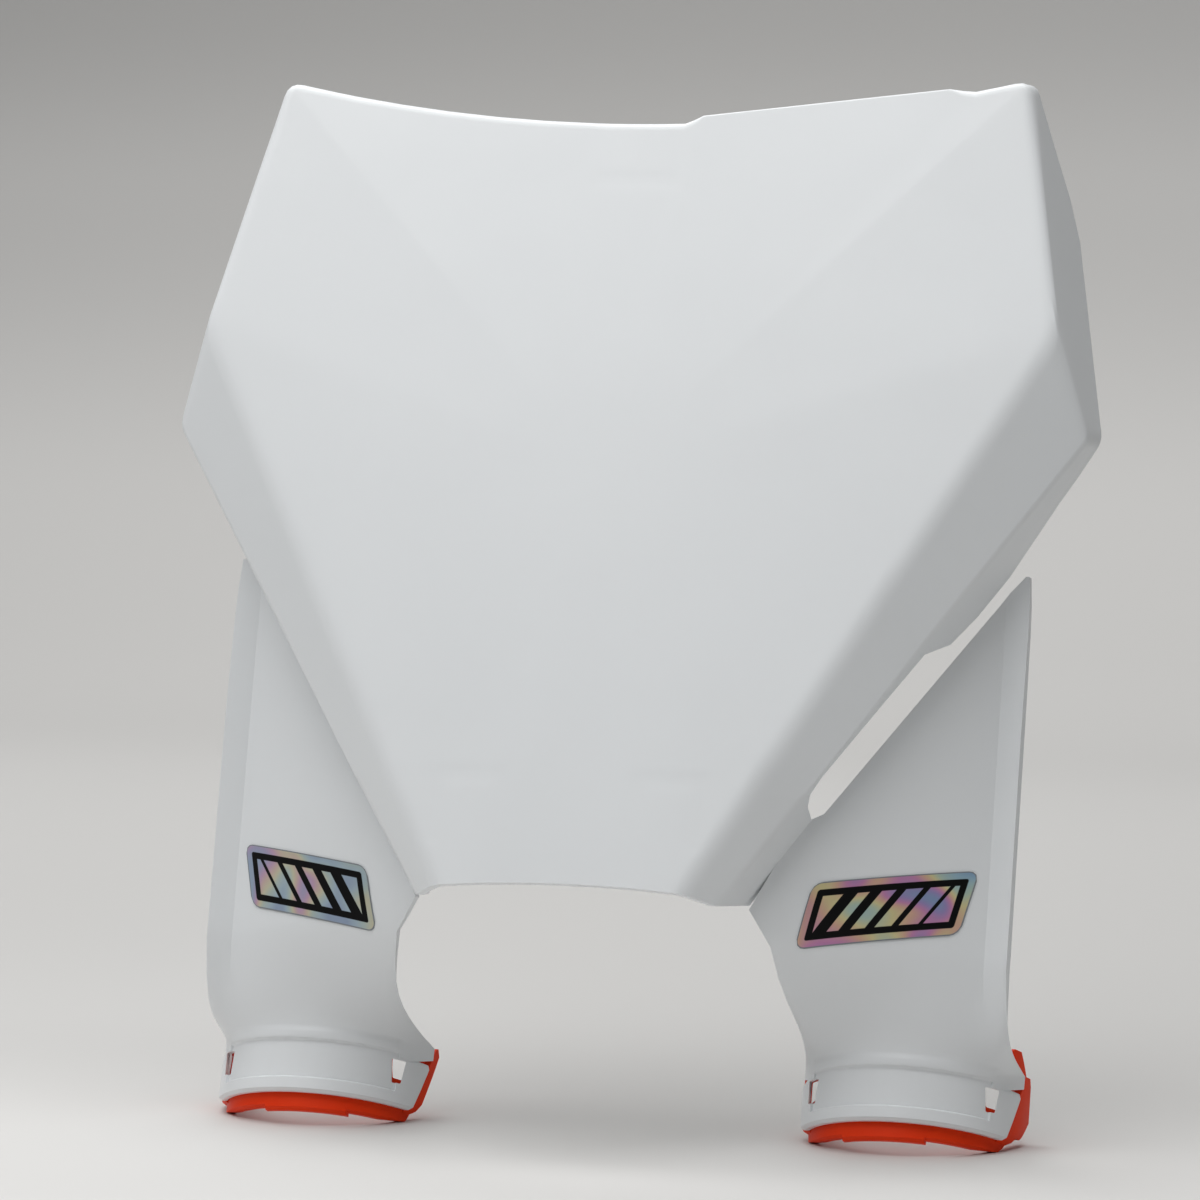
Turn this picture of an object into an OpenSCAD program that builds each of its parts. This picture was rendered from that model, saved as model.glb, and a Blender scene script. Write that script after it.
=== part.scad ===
// Front number board for a motocross bike. One white moulding holds the faceted face, its return walls and
// two legs that wrap the fork tubes. A soft saddle lines the band at each leg's foot, and a foil decal sits
// on each leg. X runs across the bike, Y from the face towards the rider and Z up. Everything is drawn in the
// forks' own frame, with Z along the tubes, and is then leaned back by the rake.

/* [Fit on the forks] */
// Distance between the centres of the two fork tubes
fork_spacing = 190; // [186:1:196]
// Radius of the fork tube that each saddle clasps
fork_r = 30; // [28:0.25:31]
// Backward lean of the fork tubes
rake = 22.4; // [16:0.2:28]
// Thickness of a saddle between the tube and the band
saddle_t = 2.8; // [2:0.1:3.5]
// Clearance between a saddle and the moulding round it
seat_gap = 0.2; // [0.1:0.05:0.4]

/* [Moulding] */
// Wall thickness of the moulding
wall = 2.5; // [2:0.1:3]
// Distance from the fork tubes' axes forward to the face's rim
face_ahead = 90.5; // [86:0.5:95]
// How far the middle of the face swells out past its rim
crown = 2.5; // [0:0.25:4]

/* [Face outline] */
// Width across the top corners
top_w = 242; // [230:1:250]
// Height of the top corners above the bands' lower edge
corner_z = 316.5; // [300:0.5:330]
// How far the top edge dips between the corners
top_dip = 14.5; // [8:0.5:20]
// Width of the face where it is widest
face_w = 274.8; // [265:0.4:284]
// Height of the widest place of the face
face_wide_z = 233; // [222:1:242]
// Width of the face at the lower edge, between the facets
foot_face_w = 77.4; // [70:0.4:86]
// Width at the lower edge with the facets
foot_w = 95.7; // [93:0.3:101]
// Height of the lower edge at the middle
arch_z = 55; // [51:0.5:58]
// Height of the lower edge where the facets end
foot_z = 52.5; // [50:0.5:54]

/* [Walls round the face] */
// How much the side walls spread outwards for each millimetre they go back
side_flare = 0.28; // [0.2:0.01:0.36]
// Depth of the side walls
wall_depth = 22.7; // [20:0.1:26]
// Depth of the rolled top edge
roll_depth = 5; // [4:0.25:7]
// Height at which the side walls reach their full depth
kink_z = 277; // [265:1:290]
// Height of the outer corners, where the facets meet the side walls
wing_z = 203.5; // [196:0.5:210]
// Depth of the facets at the outer corners
facet_depth_top = 13.5; // [12:0.25:16]
// Depth of the facets at the lower edge
facet_depth_foot = 9.5; // [8:0.25:11]
// Depth of the skirt under the outer corners, at its deepest
skirt_depth = 30; // [26:0.25:32]
// Depth of the skirt along the slot beside the leg
slot_depth = 15.5; // [13:0.25:18]
// Height at which the slot beside the leg ends
slot_end_z = 86; // [80:0.5:92]
// Height of the notch where the skirt steps back for the slot
notch_z = 138; // [130:0.5:146]

/* [Raised stretch of the top edge] */
// Where the raised stretch begins, across from the middle
raised_from = 18; // [12:0.5:24]
// Where the raised stretch ends
raised_to = 96; // [88:0.5:100]
// How far the stretch stands above the rolled edge
raised_h = 1.8; // [1:0.1:4]

/* [Legs] */
// Distance from the face back to a leg's panel, at the tip of the leg
tip_back = 34.5; // [32:0.25:37]
// Height of a leg's tip
tip_z = 166.5; // [160:0.5:172]
// Gap between the skirt and the leg's free edge, seen from the front
slot_w = 2.6; // [2:0.1:4]
// Distance from the fork's centre out to the crease beside the rim strip
crease_out = 26; // [24:0.25:27]
// Width of the rim strip along a leg's outer edge
strip_w = 7.5; // [6:0.25:9]
// How far the rim strip turns forward
strip_turn = 2.1; // [1:0.1:3]
// How far a leg's panel swells forward across its width
leg_crown = 1.8; // [0:0.1:3]

/* [Strap bands] */
// Height of a band, up to its upper bead
band_h = 17.3; // [16:0.1:20]
// Depth of the strap groove round a band
groove = 0.9; // [0.5:0.05:1.2]
// Height of the lip under the groove
lip_h = 4.3; // [4:0.1:6]
// Distance from the fork's centre to a strap slot
slot_out = 28; // [27:0.25:29]
// Height of a strap slot
strap_slot_h = 6.8; // [6:0.1:9]
// Width of a strap slot at its top
strap_slot_w = 2.3; // [1.8:0.1:3.4]
// Width of a strap slot at its bottom
strap_slot_foot_w = 1.2; // [1:0.1:2]
// How much a strap slot widens on each side for each millimetre inwards
slot_flare = 0.33; // [0:0.01:0.4]
// Thickness of the wall that the slot's outline is cut in
slot_skin = 1.3; // [1:0.1:1.8]
// How far the bead above the groove stands proud
bead = 0.35; // [0:0.05:0.6]

/* [Saddles] */
// How far a saddle reaches below the band
saddle_drop = 4.4; // [4:0.1:7]
// Height of a saddle's sleeve inside the band
saddle_h = 22; // [19:0.5:24]
// Width of the tab in the middle of a saddle's lip
tab_w = 26; // [20:0.5:30]
// How far the tab reaches below the lip
tab_drop = 1; // [0.5:0.1:2]
// Width of the edging that shows behind the band
edging_w = 5.5; // [3:0.1:7]
// How much wider the outer edging is at its middle
edging_bulge = 5.8; // [3:0.2:7]
// Height of the free end of the outer edging
horn_z = 29; // [27:0.5:32]

/* [Decals] */
// Length of a decal across the leg
decal_w = 47; // [36:1:50]
// Height of a decal
decal_h = 19; // [12:1:21]
// Height of a decal's centre
decal_z = 61; // [59:0.5:68]
// Thickness of the foil
foil = 0.3; // [0.2:0.05:0.5]

/* [Hidden] */
$fn = 96;

white = "#E4E8E8";
orange = "#D8401C";
silver = "#B9B4BE";

face_y = -face_ahead;
band_in = fork_r + saddle_t + seat_gap;
band_r = band_in + wall;
groove_r = band_r - groove;
fork_x = fork_spacing / 2;

// Height of the sharp top edge at a distance from the middle
top_curve = top_dip / pow(top_w / 2, 2);
function top_z(x) = corner_z - top_dip + top_curve * x * x;

// The side walls are flat planes: their distance from the middle at a depth and a height
side_slope = (face_w - top_w) / 2 / (corner_z - face_wide_z);
function wall_x(y, z) = top_w / 2 + side_flare * (y - face_y) + side_slope * (corner_z - z);

// The facets run between an inner and an outer crease, which go on below the lower edge and are cut there
run_out_z = 34;
wing = [wall_x(face_y + facet_depth_top, wing_z), face_y + facet_depth_top, wing_z];
face_wide = [face_w / 2, face_y, face_wide_z];
function along(a, x, z, to_z) = a[0] + (x - a[0]) * (a[2] - to_z) / (a[2] - z);
outer_slope = (wing[0] - foot_w / 2) / (wing_z - foot_z);
function outer_x(z) = foot_w / 2 + outer_slope * (z - foot_z);
face_end = [along(face_wide, foot_face_w / 2, foot_z, run_out_z), face_y, run_out_z];

// Direction in which the skirt spreads as it goes back
skirt_draft = 0.05;
skirt_out = [1, 0, -outer_slope] / norm([1, outer_slope]);

// Depth of the rear edge behind the face, for a height
leg_join_depth = 28;
corner_depth = 4;
rear_depths = [
    [run_out_z, leg_join_depth], [slot_end_z - 1.5, leg_join_depth], [slot_end_z + 0.5, slot_depth + 1.5],
    [slot_end_z + 3, slot_depth - 2.8], [slot_end_z + 8, slot_depth - 4], [slot_end_z + 30, slot_depth - 2],
    [notch_z - 3, slot_depth], [notch_z + 4, skirt_depth - 4], [notch_z + 14, skirt_depth - 0.8],
    [notch_z + 27, skirt_depth], [wing_z - 16, wall_depth + 2.5], [wing_z + 4, wall_depth],
    [kink_z, wall_depth], [corner_z - 2, corner_depth]
];
function rear_depth(z) = lookup(z, rear_depths);

function lerp(a, b, t) = a + (b - a) * t;
function unit(v) = v / max(norm(v), 1e-6);
function ease(t) = t * t * (3 - 2 * t);
function bend(a, b, c, t) = (1 - t) * (1 - t) * a + 2 * t * (1 - t) * b + t * t * c;
function joined(list) = [for (part = list) for (item = part) item];
function flipped(p) = [-p[0], p[1], p[2]];

// Rounds the corner b between a and c, starting and ending a set distance from it
function round_corner(a, b, c, back, n) =
    [for (i = [0:n]) bend(b + unit(a - b) * back, b, b + unit(c - b) * back, i / n)];

// Three rails round the board: 0 at the face's edge, 1 at the outer crease and 2 at the rear edge.
// Each runs clockwise from the top middle to the bottom middle of the right half.
corner_back = [6, 5, 4];
wide_back = [7, 3, 3];
function rail_depth(k) = [0, 0.8, 1][k] * corner_depth;

// The stretch of the top edge on the right that stands up straight, as a raw edge without a roll
step_w = 6;
fade_w = 8;
function lift(x) =
    x < raised_from ? raised_h * ease(max(0, x - raised_from + step_w) / step_w)
    : x > raised_to ? raised_h * (1 - ease(min(fade_w, x - raised_to) / fade_w))
    : raised_h + lerp(top_z(raised_from), top_z(raised_to), (x - raised_from) / (raised_to - raised_from)) - top_z(x);
function rawness(x) = min(1, lift(x) / raised_h);
function top_point(k, x, raised) =
    let (rolled = [0, 0.75, 1][k] * roll_depth, raw = [0, wall + 0.1, wall + 0.2][k])
    raised ? [x, face_y + lerp(rolled, raw, rawness(x)), top_z(x) + lift(x)] : [x, face_y + rolled, top_z(x)];
function corner_point(k) =
    let (y = face_y + rail_depth(k)) [wall_x(y, corner_z), y, corner_z];
function wide_point(k) = k == 0 ? face_wide : k == 1 ? wing : rear_side(wing_z + 3);
function rear_side(z) = let (y = face_y + rear_depth(z)) [wall_x(y, z), y, z];
function side_point(k, s) =
    k == 2 ? rear_side(lerp(corner_z - 2, wing_z + 3, s)) : lerp(corner_point(k), wide_point(k), s);
function facet_depth(s) = lerp(facet_depth_top, facet_depth_foot, 1 - pow(1 - s, 2));
function facet_point(k, z) =
    let (
        s = (wing_z - z) / (wing_z - run_out_z),
        crease = [outer_x(z), face_y + facet_depth(s), z],
        back = face_y + rear_depth(z) - crease[1]
    )
    k == 0 ? lerp(face_wide, face_end, s) : k == 1 ? crease : crease + back * ([0, 1, 0] + skirt_draft * skirt_out);

top_stations = [
    0, 6, raised_from - step_w, raised_from - step_w / 2, raised_from, 34, 50, 66, 82, raised_to,
    raised_to + fade_w / 2, raised_to + fade_w, top_w / 2 - 8
];
side_stations = [0.07, 0.17, 0.28, 0.4, 0.55, 0.7, 0.84, 0.94];
facet_stations = [
    wing_z - 8, wing_z - 16, wing_z - 27, notch_z + 27, notch_z + 14, notch_z + 4, notch_z, notch_z - 3,
    slot_end_z + 30, slot_end_z + 8, slot_end_z + 3, slot_end_z + 0.5, slot_end_z - 1.5, 70, 58, 46
];

function rail(k, raised) =
    let (
        corner = corner_point(k), wide = wide_point(k),
        low = facet_point(k, run_out_z),
        side = [for (s = side_stations) side_point(k, s)],
        facet = [for (z = facet_stations) facet_point(k, z)]
    )
    concat(
        [for (x = top_stations) top_point(k, x, raised)],
        round_corner(top_point(k, top_w / 2 - 8, raised), corner, side[1], corner_back[k], 4),
        [for (i = [1:len(side) - 1]) side[i]],
        round_corner(side[len(side) - 1], wide, facet[0], wide_back[k], 3),
        facet, [low, [low[0] / 2, low[1], run_out_z], [0, low[1], run_out_z]]
    );

half = len(rail(0, true));
function around(right, left) = concat(right, [for (i = [half - 2:-1:1]) flipped(left[i])]);
ring_rails = [for (k = [0:2]) around(rail(k, true), rail(k, false))];
function edge_rawness(i) = i < len(top_stations) ? rawness(top_stations[i]) : 0;
ring = len(ring_rails[0]);

// Surface normals between the rails at each station
function step(k, i) = ring_rails[k][(i + 1) % ring] - ring_rails[k][(i + ring - 1) % ring];
function slope_normal(k, i) =
    unit(cross(step(k, i) + step(k + 1, i), ring_rails[k + 1][i] - ring_rails[k][i]));
front = [0, -1, 0];

// Corner of the surface a set distance inside the corner p of two planes with normals m and n
function inset(p, m, n, t) = p - t * (m + n) / (1 + m * n);
function inward(i) = unit(cross(step(0, i), front));

// The profile at station i, from the face to the rear edge, for a surface t inside the outer one
roll_set = 4;
raw_set = 0.8;
crease_set = 1.6;
function profile(i, t) =
    let (
        m = slope_normal(0, i), n = slope_normal(1, i),
        a = inset(ring_rails[0][i], front, m, t),
        b = inset(ring_rails[1][i], m, n, t),
        c = ring_rails[2][i] - t * n,
        set_a = max(0, min(lerp(roll_set, raw_set, edge_rawness(i)) - t * 0.8, norm(b - a) * 0.85)),
        set_b = min(crease_set, (norm(b - a) - set_a) * 0.7, norm(c - b) * 0.3)
    )
    concat(
        [for (j = [0:4]) bend(a + inward(i) * set_a, a, a + unit(b - a) * set_a, j / 4)],
        [for (j = [0:2]) bend(b + unit(a - b) * set_b, b, b + unit(c - b) * set_b, j / 2)],
        [c]
    );

// The face swells towards its middle in rings of the outline
face_middle = [0, face_y, (corner_z + arch_z) / 2];
face_rings = 5;
function face_row(rim, j, t) =
    let (s = (j + 1) / face_rings)
    [for (p = rim) let (q = lerp([face_middle[0], p[1], face_middle[2]], p, s)) q - [0, crown * (1 - s * s), 0]];

function board_grid(t) =
    let (
        profiles = [for (i = [0:ring - 1]) profile(i, t)],
        rows = [for (j = [0:len(profiles[0]) - 1]) [for (i = [0:ring - 1]) profiles[i][j]]]
    )
    concat([for (j = [0:face_rings - 2]) face_row(rows[0], j, t)], rows);

// A closed shell between an outer and an inner grid of points
function quad(a, b, c, d) = [[a, c, b], [a, d, c]];
module shell(outer, inner, looped) {
    rows = len(outer);
    cols = len(outer[0]);
    size = rows * cols;
    last = looped ? cols - 1 : cols - 2;
    function at(side, r, c) = side * size + r * cols + c % cols;
    sheets = [for (r = [0:rows - 2]) for (c = [0:last]) concat(
        quad(at(0, r, c), at(0, r, c + 1), at(0, r + 1, c + 1), at(0, r + 1, c)),
        quad(at(1, r, c), at(1, r + 1, c), at(1, r + 1, c + 1), at(1, r, c + 1)))];
    far_edge = [for (c = [0:last])
        quad(at(0, rows - 1, c), at(0, rows - 1, c + 1), at(1, rows - 1, c + 1), at(1, rows - 1, c))];
    near_edge = [for (c = [0:last]) quad(at(0, 0, c + 1), at(0, 0, c), at(1, 0, c), at(1, 0, c + 1))];
    sides = [for (r = [0:rows - 2]) concat(
        quad(at(0, r, 0), at(0, r + 1, 0), at(1, r + 1, 0), at(1, r, 0)),
        quad(at(0, r + 1, cols - 1), at(0, r, cols - 1), at(1, r, cols - 1), at(1, r + 1, cols - 1)))];
    caps = [[for (c = [0:cols - 1]) at(0, 0, c)], [for (c = [cols - 1:-1:0]) at(1, 0, c)]];
    faces = looped ? concat(joined(sheets), joined(far_edge), caps)
                   : concat(joined(sheets), joined(far_edge), joined(near_edge), joined(sides));
    polyhedron(joined(concat(outer, inner)), faces, convexity = 8);
}

// The board, cut off below along its arched lower edge
arch_drop = (arch_z - foot_z) / pow(foot_w / 2, 2);
skirt_foot = [foot_w / 2 + 5.2, foot_z + 3.4];
arch_side = [for (i = [0:8]) let (x = foot_w / 2 * i / 8) [x, arch_z - arch_drop * x * x]];
module board_shell() {
    below = concat([[0, 0]], arch_side, [skirt_foot, [skirt_foot[0] + 40, skirt_foot[1]], [skirt_foot[0] + 40, 0]]);
    difference() {
        shell(board_grid(0), board_grid(wall), true);
        for (side = [-1, 1]) scale([side, 1, 1])
            translate([0, -30, 0]) rotate([90, 0, 0]) linear_extrude(100) polygon(below);
        translate([-80, 0, 0]) rotate([90, 0, 90]) linear_extrude(160) polygon([
            [face_y - 9, 0], [face_y - 9, foot_z - 3], [face_y + facet_depth_foot, foot_z], [face_y + 30, foot_z + 6],
            [face_y + 30, 0]
        ]);
    }
}

// Ribs behind the face: a three-sided frame on each side of the foot and one short bar near the top
rib_w = 2;
rib_tip_w = 1.4;
rib_back = face_y + 12;
frame_in = 21.5;
frame_out = 42;
frame_top = 88;
module rib(a, b, back) {
    hull() for (p = [a, b]) {
        translate([p[0], face_y + 1, p[1]]) cube([rib_w, 1, rib_w], center = true);
        translate([p[0], back, p[1]]) cube([rib_tip_w, 0.2, rib_tip_w], center = true);
    }
}
module ribs() {
    for (side = [-1, 1]) scale([side, 1, 1]) {
        rib([frame_in, arch_z + 7], [frame_in, frame_top], rib_back);
        rib([frame_out, 67.3], [frame_out, frame_top], rib_back);
        rib([frame_in, frame_top], [frame_out, frame_top], rib_back);
    }
    rib([-13, 282], [10.5, 282], face_y + 6);
}

// Columns across a leg: angles round the band, with one at the crease
band_end = 77;
crease_angle = 51;
angles = concat([for (i = [0:14]) lerp(-band_end, crease_angle, i / 14)],
                [for (i = [1:3]) lerp(crease_angle, band_end, i / 3)]);
crease_col = 14;
function across(a) = (sin(a) / sin(band_end) + 1) / 2;
crease_at = across(crease_angle);

// The leg's panel: flat across but for its crown, with the rim strip outside the crease
rise = 0.1395;
crease_x = fork_x + crease_out;
panel_slopes = [[46, 0.335], [58, 0.365], [83, 0.4], [170, 0.41]];
function crease_y(z) = face_y + tip_back + rise * (tip_z - z);
leg_edges = [
    [46, 59.6 - fork_x], [56, outer_x(56) + 3 - fork_x], [slot_end_z - 3, outer_x(slot_end_z - 3) - 1.3 - fork_x],
    [slot_end_z + 1, outer_x(slot_end_z + 1) + slot_w - fork_x], [tip_z - 5, outer_x(tip_z - 5) + slot_w - fork_x],
    [tip_z, crease_out + strip_w - 2]
];
function leg_in(z) = fork_x + lookup(z, leg_edges);
function panel_y(x, z) =
    let (t = (x - leg_in(z)) / (crease_x - leg_in(z)))
    crease_y(z) - lookup(z, panel_slopes) * (crease_x - x)
        - leg_crown * 4 * t * (1 - t) * min(1, (crease_x - leg_in(z)) / 60);
function rim_point(z) =
    [crease_x + strip_w - 0.8 * max(0, z - tip_z + 12) / 12, crease_y(z) - strip_turn * min(1, (tip_z - z) / 45), z];
function panel_point(j, z) =
    let (
        s = across(angles[j]), in_x = leg_in(z),
        edge = rim_point(z), crease = [min(crease_x, edge[0] - 0.5), crease_y(z), z],
        x = lerp(in_x, crease[0], s / crease_at)
    )
    j <= crease_col ? (in_x < crease[0] ? [x, panel_y(x, z), z] : lerp([in_x, crease[1], z], edge, s / crease_at / 2))
                    : lerp(in_x < crease[0] ? crease : lerp([in_x, crease[1], z], edge, 0.5),
                           edge, (s - crease_at) / (1 - crease_at));

// Below its panel the leg bends round into the band
panel_foot_z = 46;
function band_top(a) = band_h + 4.5 * pow(max(0, (abs(a) - 40) / (band_end - 40)), 1.5);
function band_point(j, down) =
    let (a = angles[j], r = down > 0 ? band_r : band_r + bead * ease(min(1, (band_end - abs(a)) / 15)))
    [fork_x + r * sin(a), -r * cos(a), band_top(a) - down];
function midway(a, b, c, s) = s < 0.5 ? lerp(a, b, 2 * s) : lerp(b, c, 2 * s - 1);
function bend_point(j, w) =
    let (
        s = across(angles[j]), a = band_point(j, 0), b = panel_point(j, panel_foot_z),
        late = 1 + 1.4 * (1 - pow(2 * s - 1, 2)), early = midway(0.55, 0.6, 0.2, s),
        rise_w = early * w + (1 - early) * pow(w, midway(6, 3, 5, s)),
        waist = 3.4 * 4 * w * (1 - w) * pow(max(0, 1 - 1.6 * s), 2)
    )
    [lerp(a[0], b[0], w) + waist, lerp(a[1], b[1], pow(w, late)), lerp(a[2], b[2], rise_w)];

bend_steps = [0, 0.13, 0.26, 0.38, 0.5, 0.62, 0.74, 0.87];
panel_steps = [
    panel_foot_z, 51, 56, 62, 69, 76, slot_end_z - 3, slot_end_z + 1, 96, 106, 117, 128, 140, 150, tip_z - 9,
    tip_z - 5, tip_z - 2, tip_z
];
cols_last = len(angles) - 1;
leg_outer = concat(
    [for (down = [4, 2]) [for (j = [0:cols_last]) band_point(j, down)]],
    [for (w = bend_steps) [for (j = [0:cols_last]) bend_point(j, w)]],
    [for (z = panel_steps) [for (j = [0:cols_last]) panel_point(j, z)]]
);
rows_last = len(leg_outer) - 1;
function leg_normal(r, c) = unit(cross(
    leg_outer[r][min(c + 1, cols_last)] - leg_outer[r][max(c - 1, 0)],
    leg_outer[min(r + 1, rows_last)][c] - leg_outer[max(r - 1, 0)][c]));
leg_wall = wall - 0.2;
leg_inner = [for (r = [0:rows_last]) [for (c = [0:cols_last]) leg_outer[r][c] - leg_wall * leg_normal(r, c)]];

// The band's rear edges lean forward towards the bottom
edge_y = -15.6 * band_r / 35.5;
edge_lean = 0.39;
function edge_line(z) = edge_y + edge_lean * z;
module behind(from_z, to_z, back) {
    translate([fork_x - 60, 0, 0]) rotate([90, 0, 90]) linear_extrude(120)
        polygon([[edge_line(from_z) + back, from_z], [60, from_z], [60, to_z], [edge_line(to_z) + back, to_z]]);
}

// An arc of a ring in front of the fork, from a profile of [radius, height] points
module arc(half_angle, profile) {
    translate([fork_x, 0, 0]) rotate([0, 0, -90 - half_angle]) rotate_extrude(angle = 2 * half_angle) polygon(profile);
}

// A strap slot: a rounded trapezoid, square to the band's wall, that widens behind a skin. A saddle's slot is
// smaller all round by a rim, with a deeper one at its foot.
slot_z = 7.1;
bead_r = band_r + 0.25;
slot_reach = sqrt(bead_r * bead_r - slot_out * slot_out);
module slot_outline(back, grow, foot_rim) {
    round_r = 0.4;
    half_foot = strap_slot_foot_w / 2 + grow - round_r;
    half_top = strap_slot_w / 2 + grow - round_r;
    translate([0, back, 0]) rotate([90, 0, 0]) for (s = [-1, 1]) {
        translate([s * half_foot, foot_rim + round_r, 0]) cylinder(0.1, r = round_r, $fn = 12);
        translate([s * half_top, strap_slot_h + grow - round_r, 0]) cylinder(0.1, r = round_r, $fn = 12);
    }
}
module slot_way(side, front, back, rim, foot_rim) {
    translate([fork_x + side * slot_out, -slot_reach, slot_z])
        multmatrix([[1, 0, 0, 0], [side * slot_out / slot_reach, 1, 0, 0], [0, 0, 1, 0]]) hull() {
            slot_outline(front, slot_flare * max(0, front) - rim, foot_rim);
            slot_outline(back, slot_flare * max(0, back) - rim, foot_rim);
        }
}
module strap_slot(side) {
    slot_way(side, -5, 2.6, 0, 0);
    intersection() {
        slot_way(side, 0.2, 14, 0, 0);
        translate([fork_x, 0, -10]) cylinder(60, r = bead_r - slot_skin);
    }
}

module band() {
    difference() {
        arc(84, [
            [band_in, 0.3], [band_in + 0.3, 0], [bead_r - 1, 0], [bead_r, 1], [bead_r, band_h - 2.9],
            [band_r - 0.5, band_h - 1.4], [band_in, band_h - 1.4]
        ]);
        behind(-1, band_h + 6, 0);
    }
}
module strap_groove() {
    arc(asin(slot_out / band_r), [
        [bead_r - groove, lip_h + 0.6], [bead_r + 1, lip_h - 0.6], [bead_r + 1, band_h + 0.2],
        [bead_r - groove, band_h - 1]
    ]);
}

module leg() {
    difference() {
        union() {
            shell(leg_outer, leg_inner, false);
            band();
        }
        strap_groove();
        for (side = [-1, 1]) strap_slot(side);
    }
}

module number_board() {
    color(white) rotate([-rake, 0, 0]) union() {
        board_shell();
        ribs();
        for (side = [-1, 1]) scale([side, 1, 1]) leg();
    }
}

// A saddle: a sleeve inside the band, reaching below it, and an edging that covers the band's rear edges
module yz_slab(points) {
    translate([fork_x - 60, 0, 0]) rotate([90, 0, 90]) linear_extrude(120) polygon(points);
}
function edging_line(z) = edge_line(z) + seat_gap;
module edging(side, width, bulge) {
    top = 20.5;
    low = 0.6 - saddle_drop;
    middle = 9;
    intersection() {
        arc(100, [
            [fork_r, low], [fork_r + saddle_t, low], [fork_r + saddle_t, -0.6], [band_r - 1.2, 0.5],
            [band_r - 0.2, 3], [band_r - 0.2, 40], [fork_r, 40]
        ]);
        yz_slab([
            [edging_line(low), low], [edging_line(top), top], [edging_line(top) + 1.2, top + 1.6],
            [edging_line(top) + width - 1.2, top + 1.8], [edging_line(top) + width, top - 0.5],
            [edging_line(middle) + width + bulge, middle], [edging_line(0) + width + bulge * 0.15, 0],
            [edging_line(low) + width - 0.6, low]
        ]);
        translate([fork_x + (side < 0 ? -60 : 0), -60, -20]) cube([60, 120, 80]);
    }
}
module horn() {
    foot = 18;
    intersection() {
        arc(100, [[fork_r + 0.6, 0], [band_r - 0.8, 0], [band_r - 0.8, 40], [fork_r + 0.6, 40]]);
        yz_slab([
            [edging_line(foot) + 1, foot], [-14, horn_z - 0.6], [-13.4, horn_z], [-9.9, horn_z],
            [edging_line(foot) + edging_w, foot + 1.5]
        ]);
        translate([fork_x, -60, 0]) cube([60, 120, 60]);
    }
}
module saddle() {
    sleeve_r = fork_r + saddle_t;
    tab_side = 2.3;
    top = saddle_h - saddle_drop;
    difference() {
        union() {
            difference() {
                arc(100, [
                    [fork_r, -saddle_drop], [sleeve_r - 0.8, -saddle_drop], [sleeve_r, 0.8 - saddle_drop],
                    [sleeve_r, top], [fork_r, top]
                ]);
                yz_slab([
                    [edging_line(-saddle_drop - 1) + 1, -saddle_drop - 1], [60, -saddle_drop - 1], [60, 30],
                    [edging_line(30) + 1, 30]
                ]);
            }
            edging(-1, edging_w - 2, 0);
            edging(1, edging_w, edging_bulge);
            horn();
            intersection() {
                arc(60, [
                    [fork_r, -saddle_drop - tab_drop], [sleeve_r - 0.8, -saddle_drop - tab_drop],
                    [sleeve_r, -saddle_drop], [sleeve_r, 0], [fork_r, 0]
                ]);
                translate([fork_x - tab_side - tab_w / 2, -60, -20]) cube([tab_w, 60, 40]);
            }
        }
        yz_slab([
            [-22, -saddle_drop - 0.3], [-14, 1 - saddle_drop], [-11.8, 2.8 - saddle_drop], [-9, 2.2], [40, 2.2], [40, -20],
            [-22, -20]
        ]);
        for (side = [-1, 1]) intersection() {
            slot_way(side, 0.2, side < 0 ? 16 : 24, 0.3, 2);
            translate([fork_x, 0, -10]) cylinder(60, r = bead_r - slot_skin);
        }
    }
}
module right_saddle() {
    color(orange) rotate([-rake, 0, 0]) saddle();
}
module left_saddle() {
    color(orange) rotate([-rake, 0, 0]) scale([-1, 1, 1]) saddle();
}

// A decal: a slanted foil with rounded corners that lies on a leg's panel
decal_x = fork_x - 2.5;
decal_rise = 0.22;
decal_round = 3;
decal_shear = 0.25;
decal_rows = [
    -decal_h / 2, 0.3 - decal_h / 2, 1.1 - decal_h / 2, decal_round - decal_h / 2, -2.2, 2.2,
    decal_h / 2 - decal_round, decal_h / 2 - 1.1, decal_h / 2 - 0.3, decal_h / 2
];
decal_cols = 14;
function decal_half(v) =
    let (over = max(0, abs(v) - decal_h / 2 + decal_round))
    decal_w / 2 - decal_round + sqrt(max(0, decal_round * decal_round - over * over));
function decal_grid(off) = [for (v = decal_rows) [for (i = [0:decal_cols])
    let (
        u = decal_half(v) * (2 * i / decal_cols - 1) + decal_shear * v,
        x = decal_x + u, z = decal_z + v + decal_rise * u
    )
    [x, panel_y(x, z) - off * 1.08, z]]];
module decal() {
    shell(decal_grid(foil + 0.05), decal_grid(0.05), false);
}
module right_decal() {
    color(silver) rotate([-rake, 0, 0]) decal();
}
module left_decal() {
    color(silver) rotate([-rake, 0, 0]) scale([-1, 1, 1]) decal();
}

number_board();
left_saddle();
right_saddle();
left_decal();
right_decal();
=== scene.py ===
import math
import bmesh
import bpy
from mathutils import Matrix, Vector


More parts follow.
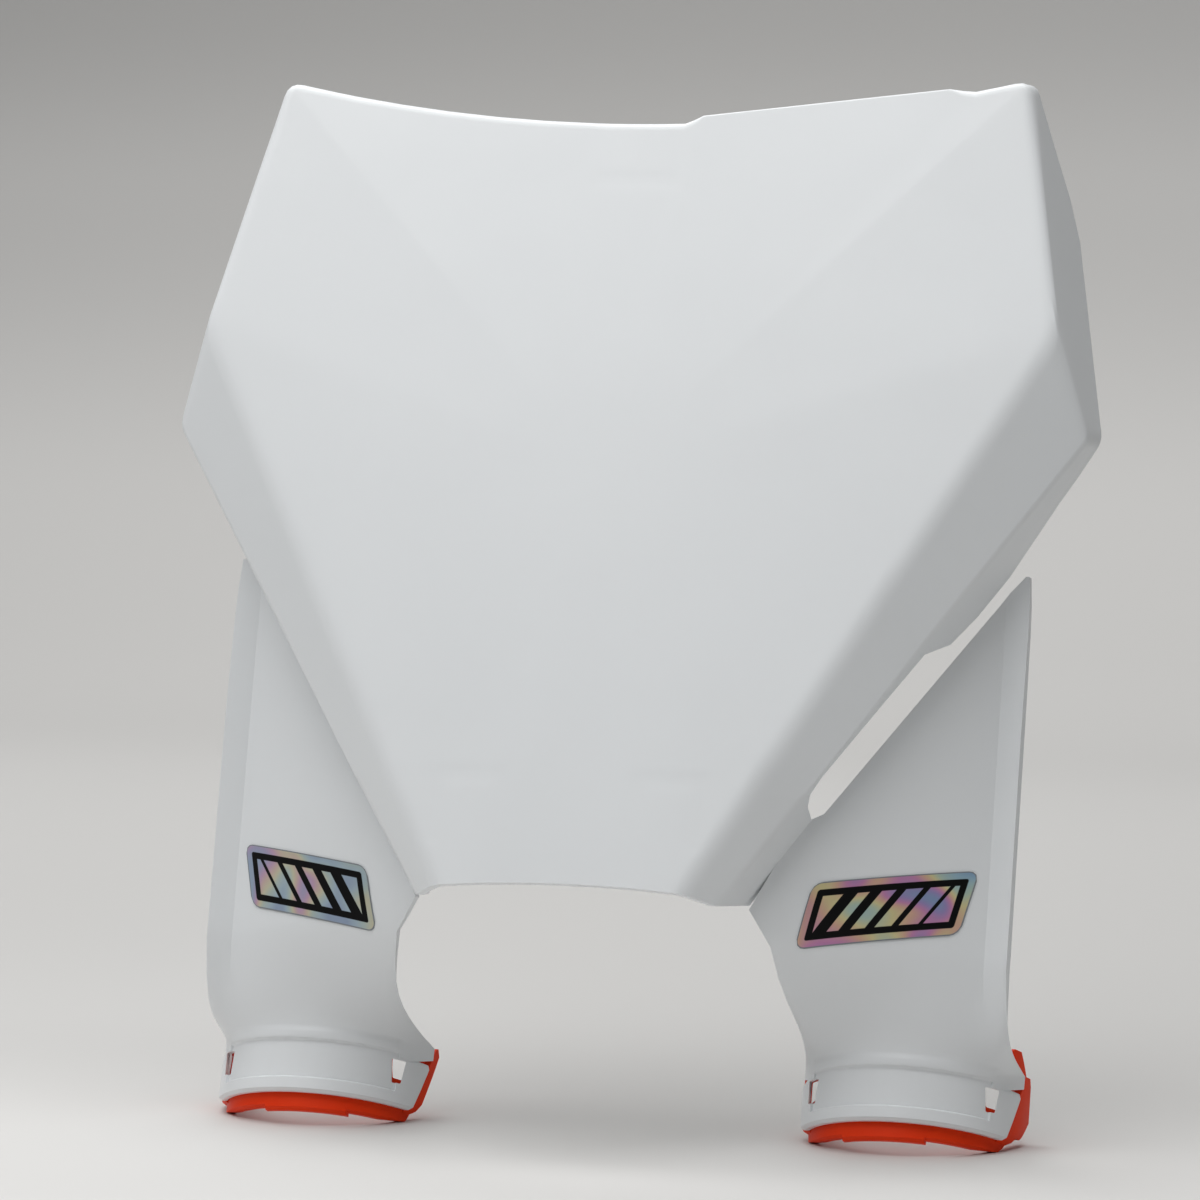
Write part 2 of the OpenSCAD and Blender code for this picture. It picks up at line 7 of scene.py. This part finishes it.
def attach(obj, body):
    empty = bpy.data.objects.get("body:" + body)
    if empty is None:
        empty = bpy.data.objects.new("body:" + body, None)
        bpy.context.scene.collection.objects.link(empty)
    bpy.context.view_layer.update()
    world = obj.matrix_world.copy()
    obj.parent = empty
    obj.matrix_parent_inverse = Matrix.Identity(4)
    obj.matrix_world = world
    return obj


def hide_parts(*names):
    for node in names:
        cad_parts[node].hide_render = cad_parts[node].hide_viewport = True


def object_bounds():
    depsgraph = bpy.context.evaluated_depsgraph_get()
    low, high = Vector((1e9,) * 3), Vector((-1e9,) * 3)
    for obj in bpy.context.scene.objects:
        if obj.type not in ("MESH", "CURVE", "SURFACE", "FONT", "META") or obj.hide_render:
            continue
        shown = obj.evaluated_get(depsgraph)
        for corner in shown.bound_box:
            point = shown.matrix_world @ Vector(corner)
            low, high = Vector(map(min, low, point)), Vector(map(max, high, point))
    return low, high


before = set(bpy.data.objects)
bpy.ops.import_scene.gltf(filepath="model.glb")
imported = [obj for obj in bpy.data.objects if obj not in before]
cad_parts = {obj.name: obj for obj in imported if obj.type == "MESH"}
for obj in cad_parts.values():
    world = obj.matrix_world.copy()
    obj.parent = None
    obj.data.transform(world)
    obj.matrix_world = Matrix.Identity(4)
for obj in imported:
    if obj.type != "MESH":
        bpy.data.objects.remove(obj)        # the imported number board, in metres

scene = bpy.context.scene
cadLow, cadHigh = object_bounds()
rake = math.radians(22.4)        # the forks lean back by this much; patterns follow the board's own upright
print("frame loaded:", ", ".join(sorted(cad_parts)))

# a colour mix takes its two colours at these sockets and gives its result at the last
firstColour, secondColour, mixedColour = 6, 7, 2


def colour(hexText):        # an sRGB hex value as linear red, green, blue and alpha
    parts = [int(hexText[i:i + 2], 16) / 255 for i in (1, 3, 5)]
    linear = [part / 12.92 if part <= 0.04045 else ((part + 0.055) / 1.055) ** 2.4 for part in parts]
    return (*linear, 1.0)


def addNode(tree, kind, sockets=None, **settings):        # a node with its settings, values and links
    node = tree.nodes.new(kind)
    for name, value in settings.items():
        setattr(node, name, value)
    for name, value in (sockets or {}).items():
        if isinstance(value, bpy.types.NodeSocket):
            tree.links.new(value, node.inputs[name])
        else:
            node.inputs[name].default_value = value
    return node


def newMaterial(name):
    material = bpy.data.materials.new(name)
    material.use_nodes = True
    tree = material.node_tree
    tree.nodes.clear()
    shader = addNode(tree, "ShaderNodeBsdfPrincipled")
    addNode(tree, "ShaderNodeOutputMaterial", {"Surface": shader.outputs["BSDF"]})
    return material, tree, shader


def boardPlace(tree):        # where a point is in the board's own upright frame, in metres
    place = addNode(tree, "ShaderNodeTexCoord").outputs["Object"]
    return addNode(tree, "ShaderNodeMapping", {"Vector": place, "Rotation": (rake, 0, 0)}).outputs["Vector"]


def softBar(tree, place, centre, half, fadeFrom, fadeTo):
    # 1 inside a bar and out to fadeFrom past its sides, 0 beyond fadeTo
    apart = addNode(tree, "ShaderNodeVectorMath", {0: place, 1: centre}, operation="SUBTRACT").outputs[0]
    folded = addNode(tree, "ShaderNodeVectorMath", {0: apart}, operation="ABSOLUTE").outputs[0]
    beyond = addNode(tree, "ShaderNodeVectorMath", {0: folded, 1: half}, operation="SUBTRACT").outputs[0]
    outside = addNode(tree, "ShaderNodeVectorMath", {0: beyond, 1: (0, 0, 0)}, operation="MAXIMUM").outputs[0]
    away = addNode(tree, "ShaderNodeVectorMath", {0: outside}, operation="LENGTH").outputs["Value"]
    return addNode(tree, "ShaderNodeMapRange", {
        "Value": away, "From Min": fadeFrom, "From Max": fadeTo, "To Min": 1, "To Max": 0},
        interpolation_type="SMOOTHSTEP").outputs["Result"]


def driftingTone(tree, place, settings):        # the pigment's slow drift, and the two tones mixed by it
    drift = addNode(tree, "ShaderNodeTexNoise", {
        "Vector": place, "Scale": 1 / settings["toneSize"], "Detail": settings["toneDetail"]}).outputs["Fac"]
    light, deep = [colour(text) for text in settings["tone"]]
    tone = addNode(tree, "ShaderNodeMix", {
        "Factor": drift, firstColour: light, secondColour: deep}, data_type="RGBA").outputs[mixedColour]
    return drift, tone


def patchyRoughness(tree, patches, settings):        # between the two values, as the patches go
    return addNode(tree, "ShaderNodeMapRange", {
        "Value": patches, "From Min": 0.3, "From Max": 0.7,
        "To Min": settings["roughness"][0], "To Max": settings["roughness"][1]}).outputs["Result"]


def layeredBump(tree, layers):        # each layer is a height from 0 to 1 and its depth in metres
    normal = None
    for height, depth in layers:
        sockets = {"Height": height, "Strength": 1.0, "Distance": depth}
        if normal:
            sockets["Normal"] = normal
        normal = addNode(tree, "ShaderNodeBump", sockets).outputs["Normal"]
    return normal


skin = {
    "weld": 0.000002, "sliver": 0.000015,        # points nearer than the first are one, thinner faces shade as lines
    "stripWidth": 0.0035, "foldAngle": 150,        # how wide a doubled strip is at most, and how far its edge turns
}


def closeStrips(work, above):        # where the outline doubles back for 2 mm, the doubled strip is closed across
    for turn in range(2):
        doubled = [edge for edge in work.edges if len(edge.link_faces) == 2 and edge.verts[0].co.z > above
                   and edge.calc_face_angle(0) > math.radians(skin["foldAngle"])]
        crossing = []
        for edge in doubled:
            strip = min(edge.link_faces, key=lambda face: face.calc_area())
            short = min((side for side in strip.edges if side is not edge), key=lambda side: side.calc_length())
            if short.calc_length() < skin["stripWidth"] and short not in crossing:
                crossing.append(short)
        bmesh.ops.collapse(work, edges=crossing, uvs=False)


def smoothCopy(node, name, settings):
    # a welded copy of a CAD node that shades smoothly between its sharp edges, and right across a bead's heights
    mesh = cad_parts[node].data.copy()
    mesh.materials.clear()
    work = bmesh.new()
    work.from_mesh(mesh)
    bmesh.ops.remove_doubles(work, verts=work.verts, dist=skin["weld"])
    if "closeAbove" in settings:
        closeStrips(work, settings["closeAbove"])
    bmesh.ops.dissolve_degenerate(work, dist=skin["sliver"], edges=work.edges)
    for face in work.faces:
        face.smooth = True
    upright = Matrix.Rotation(rake, 3, "X")
    bead = settings.get("beadHeights")
    for edge in work.edges:
        heights = [(upright @ vert.co).z for vert in edge.verts]
        onBead = bead and min(heights) > bead[0] and max(heights) < bead[1]
        sharpAngle = math.radians(settings["beadAngle"] if onBead else settings["sharpAngle"])
        edge.smooth = len(edge.link_faces) == 2 and edge.calc_face_angle(0) < sharpAngle
    work.to_mesh(mesh)
    work.free()
    if mesh.has_custom_normals:
        mesh.attributes.remove(mesh.attributes["custom_normal"])
    piece = bpy.data.objects.new(name, mesh)
    scene.collection.objects.link(piece)
    even = piece.modifiers.new("evenShading", "WEIGHTED_NORMAL")
    even.keep_sharp = True
    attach(piece, "root")
    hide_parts(node)
    return piece


# the camera stands where the photograph's did
view = {"place": (0.5384, -1.7696, 0.3129), "towards": (-0.293, 0.9528, -0.0791), "lens": 180, "sensor": 36}
camera = bpy.data.objects.new("camera", bpy.data.cameras.new("camera"))
scene.collection.objects.link(camera)
camera.location = view["place"]
camera.rotation_euler = Vector(view["towards"]).to_track_quat("-Z", "Y").to_euler()
camera.data.sensor_width = view["sensor"]
camera.data.lens = view["lens"]
camera.data.clip_start = 0.05
camera.data.clip_end = 30
scene.camera = camera
print("camera set")


# the white polypropylene moulding
plastic = {
    "sharpAngle": 32, "beadAngle": 62, "closeAbove": 0.15,
    "tone": ("#E3E6E8", "#EAEDEF"),        # white pigment, a little cool
    "toneSize": 0.11, "toneDetail": 2.0,        # pigment drifts over about 110 mm
    "roughness": (0.3, 0.38), "polishSize": 0.0294,        # polished tool, satin where the melt cooled last
    "rippleSize": 0.009, "rippleDepth": 0.00002,        # slow orange peel of a moulded skin
    "grainSize": 0.0009, "grainDepth": 0.000003,        # tool polish, finer on the real part, as coarse as it shows
    "beadHeights": (0.0155, 0.0185), "beadRise": 0.0004,        # the rounded bead above each strap groove
    "beadMiddle": (0, -0.042, 0.0185), "beadHalf": (1, 0.019, 0.0004), "beadFade": 0.0022,
    # plastic sinks over the ribs behind the face: middle and half size of each rib, the mirrored ones first
    "ribSinks": (((0.0215, 0, 0.072), (0.0006, 0, 0.016)), ((0.042, 0, 0.078), (0.0006, 0, 0.010)),
                 ((0.0318, 0, 0.088), (0.0103, 0, 0.0006))),
    "barSink": ((-0.0012, 0, 0.282), (0.0118, 0, 0.0006)),
    "sinkDepth": 0.00005, "sinkFade": 0.0035,
    "ior": 1.49,
}


def makePlastic():        # polypropylene, injection moulded: bright body, soft wide highlights, faint sinks over its ribs
    material, tree, shader = newMaterial("whitePolypropylene")
    place = boardPlace(tree)
    tone = driftingTone(tree, place, plastic)[1]
    polish = addNode(tree, "ShaderNodeTexNoise", {
        "Vector": place, "Scale": 1 / plastic["polishSize"], "Detail": 3.0}).outputs["Fac"]
    ripple, grain = [
        addNode(tree, "ShaderNodeTexNoise", {"Vector": place, "Scale": 1 / plastic[size], "Detail": 1.0}).outputs["Fac"]
        for size in ("rippleSize", "grainSize")]
    flat = addNode(tree, "ShaderNodeVectorMath", {0: place, 1: (1, 0, 1)}, operation="MULTIPLY").outputs[0]
    folded = addNode(tree, "ShaderNodeVectorMath", {0: flat}, operation="ABSOLUTE").outputs[0]
    sunk = softBar(tree, flat, *plastic["barSink"], 0, plastic["sinkFade"])
    for middle, half in plastic["ribSinks"]:
        sink = softBar(tree, folded, middle, half, 0, plastic["sinkFade"])
        sunk = addNode(tree, "ShaderNodeMath", {0: sunk, 1: sink}, operation="MAXIMUM").outputs[0]
    lowered = addNode(tree, "ShaderNodeMath", {0: sunk, 1: -1.0}, operation="MULTIPLY").outputs[0]
    raised = softBar(tree, place, plastic["beadMiddle"], plastic["beadHalf"], 0, plastic["beadFade"])
    normal = layeredBump(tree, (
        (raised, plastic["beadRise"]), (lowered, plastic["sinkDepth"]),
        (ripple, plastic["rippleDepth"]), (grain, plastic["grainDepth"])))
    tree.links.new(tone, shader.inputs["Base Color"])
    tree.links.new(patchyRoughness(tree, polish, plastic), shader.inputs["Roughness"])
    tree.links.new(normal, shader.inputs["Normal"])
    shader.inputs["IOR"].default_value = plastic["ior"]
    return material


board = smoothCopy("number_board", "moulding", plastic)
board.data.materials.append(makePlastic())
print("moulding made")


# the orange soft saddles
elastomer = {
    "sharpAngle": 32,
    "tone": ("#E83206", "#F3400C"),
    "toneSize": 0.02, "toneDetail": 3.0,
    "roughness": (0.42, 0.55),
    "grainSize": 0.0006, "grainDepth": 0.00001,        # a fine spark-eroded texture
    "ior": 1.45, "specular": 0.2,
    "milkiness": 0.08, "milkReach": (1.0, 0.35, 0.15), "milkDepth": 0.0015,
}


def makeElastomer():        # thermoplastic elastomer, moulded: saturated, satin, a little milky at its edges
    material, tree, shader = newMaterial("orangeElastomer")
    place = boardPlace(tree)
    drift, tone = driftingTone(tree, place, elastomer)
    grain = addNode(tree, "ShaderNodeTexNoise", {
        "Vector": place, "Scale": 1 / elastomer["grainSize"], "Detail": 2.0}).outputs["Fac"]
    tree.links.new(tone, shader.inputs["Base Color"])
    tree.links.new(patchyRoughness(tree, drift, elastomer), shader.inputs["Roughness"])
    tree.links.new(layeredBump(tree, ((grain, elastomer["grainDepth"]),)), shader.inputs["Normal"])
    shader.inputs["IOR"].default_value = elastomer["ior"]
    shader.inputs["Specular IOR Level"].default_value = elastomer["specular"]
    shader.inputs["Subsurface Weight"].default_value = elastomer["milkiness"]
    shader.inputs["Subsurface Radius"].default_value = elastomer["milkReach"]
    shader.inputs["Subsurface Scale"].default_value = elastomer["milkDepth"]
    return material


saddleFinish = makeElastomer()
for side in ("left", "right"):
    saddle = smoothCopy(side + "_saddle", side + "Saddle", elastomer)
    saddle.data.materials.append(saddleFinish)
print("saddles made")


# the foil decals: a leaning rounded rectangle with a black outline and slanted bars that grow thinner
decal = {
    "sharpAngle": 40,
    "middle": (0.0925, 0.061), "size": (0.047, 0.019), "rise": 0.22, "shear": 0.25, "turn": 0.003,
    "rainbow": ((0.0, "#7F9CC4"), (0.18, "#9FBFD0"), (0.36, "#B9CDBD"), (0.48, "#DDD3A0"),
                (0.6, "#DDB49E"), (0.72, "#CE8FBB"), (0.86, "#A394C6"), (1.0, "#8AA5C8")),
    "swirlSize": 0.0278,
    "paintedLightGrey": "#BCC0C6", "paintedLightLeft": 0.42,        # painted light: the left leg's foil, turned to the light, is mixed this far toward a pale grey
    "edge": "#8D9297", "edgeWidth": 0.00035,        # the cut edge is bare
    "ink": "#060607", "inkFade": 0.0002,
    "frameAt": 0.0022, "frameWidth": 0.0021,        # the black outline lies this far inside the cut edge
    "bars": 5, "barFirst": 0.0042, "barLast": 0.0014, "barStep": 0.0072, "barLean": 0.55,
    "metallic": 0.3, "roughness": (0.3, 0.38), "specular": 0.2,        # bare foil first, then ink
    "brushSize": 0.00111, "brushDepth": 0.000004,
}


def makeFoil():        # holographic polyester foil, screen printed: pastel bands that drift across it, flat black ink, and painted light that makes the left leg's foil paler
    material, tree, shader = newMaterial("holographicFoil")
    place = boardPlace(tree)
    folded = addNode(tree, "ShaderNodeVectorMath", {0: place}, operation="ABSOLUTE").outputs[0]
    local = addNode(tree, "ShaderNodeVectorMath", {
        0: folded, 1: (decal["middle"][0], 0, decal["middle"][1])}, operation="SUBTRACT").outputs[0]
    run = addNode(tree, "ShaderNodeVectorMath", {
        0: local, 1: (1 + decal["shear"] * decal["rise"], 0, -decal["shear"])}, operation="DOT_PRODUCT").outputs["Value"]
    up = addNode(tree, "ShaderNodeVectorMath", {
        0: local, 1: (-decal["rise"], 0, 1)}, operation="DOT_PRODUCT").outputs["Value"]
    flat = addNode(tree, "ShaderNodeCombineXYZ", {"X": run, "Y": up}).outputs[0]
    halfX, halfY = decal["size"][0] / 2, decal["size"][1] / 2
    turn, fade = decal["turn"], decal["inkFade"]

    def within(depth):        # 1 further inside the cut edge than this depth
        edge = turn - depth
        return softBar(tree, flat, (0, 0, 0), (halfX - turn, halfY - turn, 0), edge - fade / 2, edge + fade / 2)

    outer = within(decal["frameAt"])
    framed = decal["frameAt"] + decal["frameWidth"]
    inner = softBar(tree, flat, (0, 0, 0), (halfX - framed, halfY - framed, 1), 0, fade)
    ink = addNode(tree, "ShaderNodeMath", {0: outer, 1: inner}, operation="SUBTRACT").outputs[0]
    leaned = addNode(tree, "ShaderNodeVectorMath", {
        0: flat, 1: (1, -decal["barLean"], 0)}, operation="DOT_PRODUCT").outputs["Value"]
    across = addNode(tree, "ShaderNodeCombineXYZ", {"X": leaned}).outputs[0]
    for i in range(decal["bars"]):
        middle = (i - (decal["bars"] - 1) / 2) * decal["barStep"]
        width = decal["barFirst"] + (decal["barLast"] - decal["barFirst"]) * i / (decal["bars"] - 1)
        bar = softBar(tree, across, (middle, 0, 0), ((width - fade) / 2, 1, 1), 0, fade)
        kept = addNode(tree, "ShaderNodeMath", {0: bar, 1: outer}, operation="MULTIPLY").outputs[0]
        ink = addNode(tree, "ShaderNodeMath", {0: ink, 1: kept}, operation="MAXIMUM").outputs[0]

    swirl = addNode(tree, "ShaderNodeTexNoise", {
        "Vector": place, "Scale": 1 / decal["swirlSize"], "Detail": 1.0, "Distortion": 0.5}).outputs["Fac"]
    band = addNode(tree, "ShaderNodeMapRange", {"Value": swirl, "From Min": 0.33, "From Max": 0.67}).outputs["Result"]
    rainbow = addNode(tree, "ShaderNodeValToRGB", {"Fac": band})
    stops = rainbow.color_ramp.elements
    for at, text in decal["rainbow"][1:-1]:
        stops.new(at)
    for stop, (at, text) in zip(stops, decal["rainbow"]):
        stop.position = at
        stop.color = colour(text)
    parts = addNode(tree, "ShaderNodeSeparateXYZ", {"Vector": place})
    # painted light: the foil on the left leg is mixed toward a pale grey, where more light falls on it
    paintedLightMask = addNode(tree, "ShaderNodeMapRange", {
        "Value": parts.outputs["X"], "From Min": -0.02, "From Max": 0.02, "To Min": decal["paintedLightLeft"], "To Max": 0})
    tone = addNode(tree, "ShaderNodeMix", {
        "Factor": paintedLightMask.outputs["Result"], firstColour: rainbow.outputs["Color"], secondColour: colour(decal["paintedLightGrey"])},
        data_type="RGBA").outputs[mixedColour]
    tone = addNode(tree, "ShaderNodeMix", {
        "Factor": within(decal["edgeWidth"]), firstColour: colour(decal["edge"]), secondColour: tone},
        data_type="RGBA").outputs[mixedColour]
    tone = addNode(tree, "ShaderNodeMix", {
        "Factor": ink, firstColour: tone, secondColour: colour(decal["ink"])},
        data_type="RGBA").outputs[mixedColour]
    metal = addNode(tree, "ShaderNodeMapRange", {"Value": ink, "To Min": decal["metallic"], "To Max": 0})
    rough = addNode(tree, "ShaderNodeMapRange", {
        "Value": ink, "To Min": decal["roughness"][0], "To Max": decal["roughness"][1]})
    brush = addNode(tree, "ShaderNodeTexNoise", {
        "Vector": place, "Scale": 1 / decal["brushSize"], "Detail": 1.0}).outputs["Fac"]
    tree.links.new(tone, shader.inputs["Base Color"])
    tree.links.new(metal.outputs["Result"], shader.inputs["Metallic"])
    tree.links.new(rough.outputs["Result"], shader.inputs["Roughness"])
    tree.links.new(layeredBump(tree, ((brush, decal["brushDepth"]),)), shader.inputs["Normal"])
    shader.inputs["Specular IOR Level"].default_value = decal["specular"]
    return material


foilFinish = makeFoil()
for side in ("left", "right"):
    foil = smoothCopy(side + "_decal", side + "Decal", decal)
    foil.data.materials.append(foilFinish)
print("decals made")


# the paper sweep, the lamps and the room
studio = {
    "floorFront": -3.0, "bendStart": 1.1, "bendRadius": 0.9, "bendSteps": 32, "wallTop": 4.0, "halfWidth": 7.0,
    "paper": "#D2D1CF", "roughness": 0.75,
    # how far along the paper in metres, floor then wall, and its painted shade there: darker on the floor just behind
    # the board and high up the wall, lighter in front, standing in for how the lamps' light falls off
    "paintedShades": ((-0.1, 1.03), (0.13, 0.86), (0.35, 0.84), (1.0, 0.95), (1.32, 1.0), (1.6, 1.02), (2.0, 0.83),
               (2.25, 0.66)),
    "surround": 0.142,
    # name, place, aimed at, width, height, watts
    "lamps": (
        ("overhead", (-0.35, -0.55, 1.75), (-0.2, -0.35, 0.0), 1.9, 2.2, 31.7),
        ("backTop", (-0.2, 0.7, 1.9), (-0.2, 0.5, 0.0), 1.6, 1.4, 12.2),
        ("backLeft", (-0.9, 0.6, 1.6), (0.0, 0.1, 0.1), 1.1, 1.1, 6.1),
        ("left", (-1.9, -0.4, 1.0), (0.0, 0.0, 0.15), 1.2, 1.2, 0.9),
    ),
}


def makePaintedShadePaper():        # coated photographic paper, nearly matt, its colour carrying painted shade along its length
    material, tree, shader = newMaterial("seamlessPaper")
    place = addNode(tree, "ShaderNodeTexCoord").outputs["Object"]
    reach = addNode(tree, "ShaderNodeVectorMath", {0: place, 1: (0, 1, 1)}, operation="DOT_PRODUCT").outputs["Value"]
    first, last = studio["paintedShades"][0][0], studio["paintedShades"][-1][0]
    along = addNode(tree, "ShaderNodeMapRange", {"Value": reach, "From Min": first, "From Max": last})
    # painted shade: the paper's colour is darkened or lightened along its length in place of the lamps' falloff
    fade = addNode(tree, "ShaderNodeValToRGB", {"Fac": along.outputs["Result"]})
    fade.color_ramp.interpolation = "EASE"
    stops = fade.color_ramp.elements
    paper = colour(studio["paper"])
    for at, strength in studio["paintedShades"][1:-1]:
        stops.new((at - first) / (last - first))
    for stop, (at, strength) in zip(stops, studio["paintedShades"]):
        stop.position = (at - first) / (last - first)
        stop.color = (*[channel * strength for channel in paper[:3]], 1)
    tree.links.new(fade.outputs["Color"], shader.inputs["Base Color"])
    shader.inputs["Roughness"].default_value = studio["roughness"]
    return material


def makeSweep():        # one line of paper is drawn forward for the floor, spun for the bend and drawn up for the wall
    work = bmesh.new()
    floorZ = cadLow.z
    ends = [work.verts.new((x, studio["bendStart"], floorZ)) for x in (-studio["halfWidth"], studio["halfWidth"])]
    seam = work.edges.new(ends)
    front = bmesh.ops.extrude_edge_only(work, edges=[seam])["geom"]
    bmesh.ops.translate(work, verts=[part for part in front if isinstance(part, bmesh.types.BMVert)],
                        vec=(0, studio["floorFront"] - studio["bendStart"], 0))
    spun = bmesh.ops.spin(work, geom=[*ends, seam], cent=(0, studio["bendStart"], floorZ + studio["bendRadius"]),
                          axis=(1, 0, 0), angle=math.radians(90), steps=studio["bendSteps"],
                          use_merge=False)["geom_last"]
    wall = bmesh.ops.extrude_edge_only(
        work, edges=[part for part in spun if isinstance(part, bmesh.types.BMEdge)])["geom"]
    bmesh.ops.translate(work, verts=[part for part in wall if isinstance(part, bmesh.types.BMVert)],
                        vec=(0, 0, studio["wallTop"]))
    bmesh.ops.recalc_face_normals(work, faces=work.faces)
    for face in work.faces:
        face.smooth = True
    mesh = bpy.data.meshes.new("paperSweep")
    work.to_mesh(mesh)
    work.free()
    sweep = bpy.data.objects.new("paperSweep", mesh)
    scene.collection.objects.link(sweep)
    sweep.data.materials.append(makePaintedShadePaper())


makeSweep()
for name, place, target, width, height, watts in studio["lamps"]:
    lamp = bpy.data.lights.new(name, "AREA")
    lamp.shape = "RECTANGLE"
    lamp.size, lamp.size_y, lamp.energy = width, height, watts
    holder = bpy.data.objects.new(name, lamp)
    scene.collection.objects.link(holder)
    holder.location = place
    holder.rotation_euler = (Vector(target) - Vector(place)).to_track_quat("-Z", "Y").to_euler()

world = bpy.data.worlds.new("studioRoom")
world.use_nodes = True
world.node_tree.nodes["Background"].inputs["Color"].default_value = (1, 1, 1, 1)
world.node_tree.nodes["Background"].inputs["Strength"].default_value = studio["surround"]
scene.world = world
scene.view_settings.view_transform = "Standard"
print("studio set")
